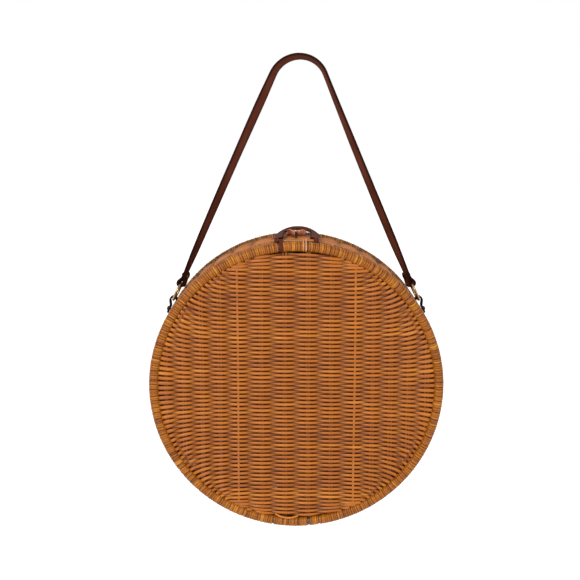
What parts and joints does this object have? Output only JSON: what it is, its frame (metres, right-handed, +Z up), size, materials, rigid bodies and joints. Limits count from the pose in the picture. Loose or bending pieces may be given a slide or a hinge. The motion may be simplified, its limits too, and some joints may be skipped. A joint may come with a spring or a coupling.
{
  "type": "round wicker shoulder bag",
  "caption": "Round wicker shoulder bag with a front lid hinged at the bottom, a leather closure loop and a leather strap on brass rings.",
  "frame": {"origin": "middle of the underside of the strap's crown, where the bag hangs from a hook or shoulder", "axes": "+Z up through the bag's centre, +Y from the lid to the back panel, +X to the right as seen from the lid"},
  "size_m": [0.36, 0.1022, 0.5799],
  "materials": {
    "leather": "smooth dark brown bridle leather",
    "cane": "varnished round cane",
    "wrap_cane": "varnished flat cane",
    "pale_cane": "varnished pale cane",
    "cord": "dark waxed cord",
    "brass": "polished pale brass"
  },
  "bodies": {
    "strap": {"strap": "leather", "strap_rivet_left": "brass", "strap_rivet_right": "brass"},
    "bag": {"rim_hoop": "cane", "rim_wrap": "wrap_cane", "back_hoop": "cane", "back_wrap": "wrap_cane", "wall_stakes_round": "pale_cane", "wall_weave": "cane", "back_stakes": "pale_cane", "back_weave": "cane", "tab_left": "leather", "tab_right": "leather", "tab_rivet_left": "brass", "tab_rivet_right": "brass", "toggle": "pale_cane", "toggle_cord": "cord"},
    "lid": {"lid_hoop": "cane", "lid_wrap": "wrap_cane", "lid_stakes": "pale_cane", "lid_weave": "cane", "hinge_lashing_left": "wrap_cane", "hinge_lashing_right": "wrap_cane", "loop_lace": "leather", "lace_tie_left": "leather", "lace_tie_right": "pale_cane"},
    "closure_loop": {"closure_loop": "leather"},
    "ring_left": {"ring_left": "brass"},
    "ring_right": {"ring_right": "brass"}
  },
  "joints": [
    {"name": "bag_swing", "type": "hinge", "parent": "strap", "child": "bag", "pos_m": [0, 0, -0.28359], "axis": [1, 0, 0], "range_deg": [-30, 30]},
    {"name": "ring_left_swing", "type": "hinge", "parent": "bag", "child": "ring_left", "pos_m": [-0.14749, 0, -0.28359], "axis": [1, 0, 0], "range_deg": [-15, 15]},
    {"name": "ring_right_swing", "type": "hinge", "parent": "bag", "child": "ring_right", "pos_m": [0.14749, 0, -0.28359], "axis": [1, 0, 0], "range_deg": [-15, 15]},
    {"name": "lid_hinge", "type": "hinge", "parent": "bag", "child": "lid", "pos_m": [0, -0.03085, -0.56699], "axis": [1, 0, 0], "range_deg": [0, 110]},
    {"name": "loop_lift", "type": "hinge", "parent": "lid", "child": "closure_loop", "pos_m": [0, -0.0379, -0.21479], "axis": [1, 0, 0], "range_deg": [0, 120]}
  ],
  "couplings": [
    {"joint": "ring_left_swing", "follows": "bag_swing", "ratio": -0.5},
    {"joint": "ring_right_swing", "follows": "bag_swing", "ratio": -0.5}
  ]
}
